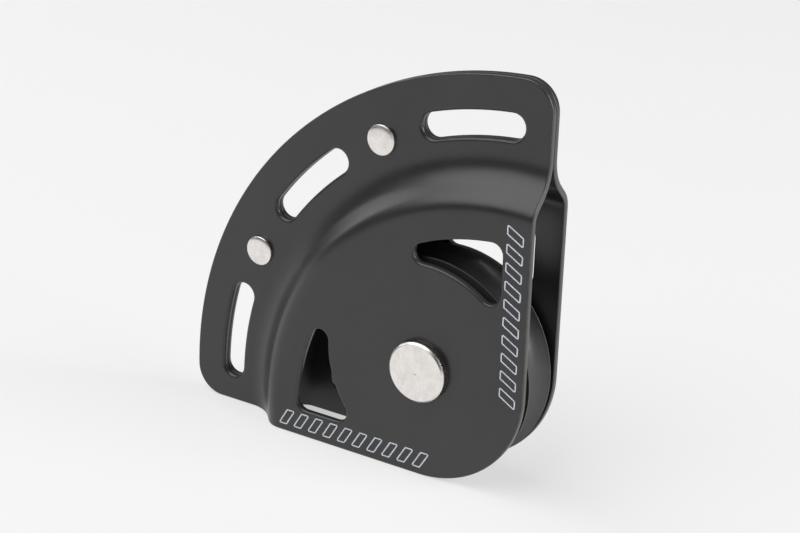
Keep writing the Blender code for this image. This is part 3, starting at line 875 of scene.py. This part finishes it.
def makeAxle():
    pinLow, pinHigh = (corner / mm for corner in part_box("axle_pin"))
    radius, out = half("axle_pin", 0), -pinLow.y
    under = raisedFace + head["seatGap"]
    tree = makeSerrationTree()
    rim = radius - head["toothLedge"]  # the teeth stand up to the full radius
    depth = pinHigh.y - head["stubLength"] - head["boreSpare"]
    pin = [(0, -out + head["dimpleDepth"], 0), (head["dimple"], -out, 0.06)] + headEdge(rim, out, under, -1)
    pin += [(head["shank"], -under, 0.1), (head["shank"], pinHigh.y, 0.3), (head["bore"], pinHigh.y, 0.2),
            (head["bore"], depth, 0.1), (0, depth, 0)]
    pinMesh = turned("pin", softened(pin, 0.1), axle, head["steps"], closed=False)
    # the teeth take the darker steel, which is painted shade on the side of each head
    finishes = ("axleSteel", "knurlSteelPaintedShade")
    mesh = joined("axlePin", [pinMesh, serrations(tree, -1, radius, out, under)], finishes)
    newPiece("axlePin", mesh, "plates", ["axle_pin"])

    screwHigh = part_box("axle_screw")[1].y / mm
    screw = [(0, screwHigh, 0)] + headEdge(rim, screwHigh, under, 1)
    screw += [(head["stub"], under, 0.1), (head["stub"], under - head["stubLength"], 0.4),
              (0, under - head["stubLength"], 0)]
    screwMesh = turned("screw", softened(screw, 0.1), axle, head["steps"], closed=False)
    bpy.ops.mesh.primitive_cylinder_add(
        vertices=6, radius=head["socket"] * mm, depth=2 * head["socketDepth"] * mm,
        location=(axle.x * mm, screwHigh * mm, axle.z * mm), rotation=(math.pi / 2, 0, 0))
    key = bpy.context.object
    work = bpy.data.objects.new("screwWork", screwMesh)
    bpy.context.scene.collection.objects.link(work)
    cut = work.modifiers.new("socket", "BOOLEAN")
    cut.object = key
    cut.operation = "DIFFERENCE"
    soft = work.modifiers.new("socketEdge", "BEVEL")
    soft.width = 0.12 * mm
    soft.segments = 2
    soft.angle_limit = math.radians(50)
    screwMesh = bakedMesh(work, "screw")
    bpy.data.objects.remove(key, do_unlink=True)
    mesh = joined("axleScrew", [screwMesh, serrations(tree, 1, radius, screwHigh, under)], finishes)
    mesh.set_sharp_from_angle(angle=math.radians(25))
    newPiece("axleScrew", mesh, "plates", ["axle_screw"])
    print("axle pin and screw")


makeAxle()


# rivets and their washers, set in the flange by angle about the hub


rivet = {"rise": 1.2, "edge": 0.78, "endRadius": 3.1, "endRise": 0.9, "shank": 2.0, "gap": 0.05,
         "washer": 0.5, "washerHole": 2.15, "flatness": 4.5, "tailEdge": 0.25,
         "domeSteps": 12, "steps": 72}


def domeProfile(radius, rise, base, sign, edge):
    points = [(0, base + sign * rise, 0)]
    for k in range(1, rivet["domeSteps"] + 1):  # a flat dome that turns down at its edge
        share = k / rivet["domeSteps"]
        up = edge + (rise - edge) * (1 - share**rivet["flatness"])
        points.append((radius * share, base + sign * up, 0))
    points[-1] = (*points[-1][:2], 0.22)
    return points + [(radius, base, 0.06)]


def makeSetTree():
    tree, given, result = newTree("setInFlange", "GeometryNodeTree", [
        ("Part", "Geometry", None), ("Hub", "Vector", (0, 0, 0)), ("Radius", "Float", 0.0875),
        ("Middle Angle", "Float", 2.36), ("Half Angle", "Float", 0.31), ("Material", "Material", None)],
        [("Geometry", "Geometry")])
    both = addNode(tree, "GeometryNodeMeshLine", {"Count": 2}, mode="OFFSET")
    index = addNode(tree, "GeometryNodeInputIndex").outputs[0]
    side = calc(tree, "MULTIPLY_ADD", index, 2.0, -1.0)
    angle = calc(tree, "MULTIPLY_ADD", side, given["Half Angle"], given["Middle Angle"])
    x = calc(tree, "MULTIPLY", calc(tree, "COSINE", angle), given["Radius"])
    z = calc(tree, "MULTIPLY", calc(tree, "SINE", angle), given["Radius"])
    offset = addNode(tree, "ShaderNodeCombineXYZ", {"X": x, "Z": z})
    placed = addNode(tree, "GeometryNodeSetPosition", {
        "Geometry": both.outputs[0], "Position": vectorCalc(tree, "ADD", offset.outputs[0], given["Hub"])})
    copies = addNode(tree, "GeometryNodeInstanceOnPoints",
                     {"Points": placed.outputs[0], "Instance": given["Part"]})
    finishTree(tree, copies.outputs[0], given["Material"], result[0])
    return tree


def makeRivets():
    radius = half("flange_rivet_upper", 0)
    face = flangeFace + rivet["gap"]
    washerOut = face + rivet["washer"]
    tail = washerOut + rivet["gap"]
    profile = domeProfile(rivet["endRadius"], rivet["endRise"], tail, 1, rivet["tailEdge"])
    profile += [(rivet["shank"], tail, 0), (rivet["shank"], -face, 0)]
    profile += domeProfile(radius, rivet["rise"], -face, -1, rivet["edge"])[::-1]
    ring = ringProfile(rivet["washerHole"], half("rivet_washer_upper", 0), face, washerOut, 0.12)
    places = {"Hub": hub * mm, "Radius": blank["rivetRadius"] * mm,
              "Middle Angle": math.radians(blank["middle"]), "Half Angle": math.radians(blank["rivetAngle"]),
              "Material": materials["rivetSteel"]}
    tree = makeSetTree()
    origin = Vector((0, 0, 0))
    for name, shape, closed, nodes in (
            ("flangeRivets", softened(profile, 0.1), False, ["flange_rivet_upper", "flange_rivet_lower"]),
            ("rivetWashers", ring, True, ["rivet_washer_upper", "rivet_washer_lower"])):
        mesh = runTree(name, tree, places, turned(name + "One", shape, origin, rivet["steps"], closed))
        newPiece(name, mesh, "plates", nodes)
    print("rivets and washers")


makeRivets()


# engraved rows of slanted bars along the two straight edges of each plate


bars = {"count": 10, "pitch": 4.7, "width": 2.3, "height": 4.3, "slant": 2.6, "round": 0.25, "stroke": 0.34,
        "thick": 0.03, "fromEdge": 4.3, "firstFromHub": 21.5}


def makeBarTree():
    tree, given, result = newTree("engravedBars", "GeometryNodeTree", [
        ("Start", "Vector", (0, 0, 0)), ("Step", "Vector", (0.005, 0, 0)), ("Turn", "Vector", (0, 0, 0)),
        ("Count", "Int", 9), ("Width", "Float", 0.003), ("Height", "Float", 0.004), ("Slant", "Float", 0.001),
        ("Round", "Float", 0.0005), ("Stroke", "Float", 0.0004), ("Thickness", "Float", 0.00003),
        ("Material", "Material", None)], [("Geometry", "Geometry")])
    row = addNode(tree, "GeometryNodeMeshLine", {
        "Count": given["Count"], "Start Location": given["Start"], "Offset": given["Step"]}, mode="OFFSET")
    outline = addNode(tree, "GeometryNodeCurvePrimitiveQuadrilateral", {
        "Width": given["Width"], "Height": given["Height"], "Offset": given["Slant"]}, mode="PARALLELOGRAM")
    soft = addNode(tree, "GeometryNodeFilletCurve",
                   {"Curve": outline.outputs[0], "Count": 5, "Radius": given["Round"]}, mode="POLY")
    section = addNode(tree, "GeometryNodeCurvePrimitiveQuadrilateral",
                      {"Width": given["Stroke"], "Height": given["Thickness"]}, mode="RECTANGLE")
    bar = addNode(tree, "GeometryNodeCurveToMesh",
                  {"Curve": soft.outputs[0], "Profile Curve": section.outputs[0]})
    turn = addNode(tree, "FunctionNodeEulerToRotation", {"Euler": given["Turn"]})
    copies = addNode(tree, "GeometryNodeInstanceOnPoints", {
        "Points": row.outputs[0], "Instance": bar.outputs[0], "Rotation": turn.outputs[0]})
    finishTree(tree, copies.outputs[0], given["Material"], result[0], smooth=False)
    return tree


def makeBars():
    tree = makeBarTree()
    inset = edgeBeyondHub - bars["fromEdge"]
    for label, side in (("front", -1), ("rear", 1)):
        y = side * raisedFace
        rows = ((Vector((hub.x + inset, y, hub.z + bars["firstFromHub"])), Vector((0, 0, bars["pitch"])),
                 (math.pi / 2, math.pi / 2, 0)),
                (Vector((hub.x - bars["firstFromHub"], y, hub.z - inset)), Vector((-bars["pitch"], 0, 0)),
                 (math.pi / 2, 0, 0)))
        meshes = []
        for start, step, turn in rows:
            meshes.append(runTree("row", tree, {
                "Start": start * mm, "Step": step * mm, "Turn": turn, "Count": bars["count"],
                "Width": bars["width"] * mm, "Height": bars["height"] * mm, "Slant": bars["slant"] * mm,
                "Round": bars["round"] * mm, "Stroke": bars["stroke"] * mm, "Thickness": bars["thick"] * mm,
                "Material": materials["print"]}))
        mesh = joined(label + "Bars", meshes, ("print", "print"))
        newPiece(label + "Bars", mesh, "plates", [])
    print("engraved bars:", 4 * bars["count"])


makeBars()


# floor, light and camera


studio = {"floorSize": 12.0, "floorColor": grey(0.38), "floorGlow": 0.55, "sky": 0.08}
lamps = {"topLamp": {"place": (-0.9, -1.15, 2.15), "size": 3.2, "power": 58.0},
         "rightLamp": {"place": (2.2, 0.3, 1.0), "size": 1.6, "power": 42.0},
         "leftLamp": {"place": (-2.4, 0.4, 1.1), "size": 1.6, "power": 15.0}}


def makeFloor():
    bpy.ops.mesh.primitive_plane_add(size=studio["floorSize"], location=(0, 0, 0))
    floor = bpy.context.object
    floor.name = "floor"
    material, tree, shader, where = startMaterial("paleFloor", 0.75)
    grain = effect(tree, "blastGrain", Vector=where, Grain=0.004, Patch=0.4)
    shade = tuple(c * 0.985 for c in studio["floorColor"][:3]) + (1,)
    plug(tree, blend(tree, grain["Patches"], studio["floorColor"], shade), shader.inputs["Base Color"])
    shader.inputs["Emission Color"].default_value = grey(1.0)
    shader.inputs["Emission Strength"].default_value = studio["floorGlow"]  # keeps shadows faint
    floor.data.materials.append(material)


def makeLights():
    world = bpy.data.worlds.new("studioSky")
    world.use_nodes = True
    sky = world.node_tree.nodes["Background"]
    sky.inputs["Color"].default_value = grey(1.0)
    sky.inputs["Strength"].default_value = studio["sky"]
    bpy.context.scene.world = world
    for name, lamp in lamps.items():
        light = bpy.data.lights.new(name, "AREA")
        light.shape = "DISK"
        light.size = lamp["size"]
        light.energy = lamp["power"]
        place = Vector(lamp["place"])
        holder = bpy.data.objects.new(name, light)
        holder.matrix_world = Matrix.Translation(place) @ place.to_track_quat("Z", "Y").to_matrix().to_4x4()
        holder.visible_camera = False
        bpy.context.scene.collection.objects.link(holder)


shot = {"place": (0.22483, -0.33861, 0.20806), "azimuth": 32.2, "elevation": 21.356, "roll": 1.57,
        "lens": 75.95, "sensor": 36.0}


def makeCamera():
    data = bpy.data.cameras.new("camera")
    data.lens = shot["lens"]
    data.sensor_width = shot["sensor"]
    camera = bpy.data.objects.new("camera", data)
    bpy.context.scene.collection.objects.link(camera)
    aim = (Matrix.Rotation(math.radians(shot["azimuth"]), 4, "Z")
           @ Matrix.Rotation(math.radians(90 - shot["elevation"]), 4, "X")
           @ Matrix.Rotation(math.radians(shot["roll"]), 4, "Z"))
    camera.matrix_world = Matrix.Translation(shot["place"]) @ aim
    bpy.context.scene.camera = camera


makeFloor()
makeLights()
makeCamera()
bpy.context.scene.view_settings.view_transform = "Standard"
print("studio and camera")
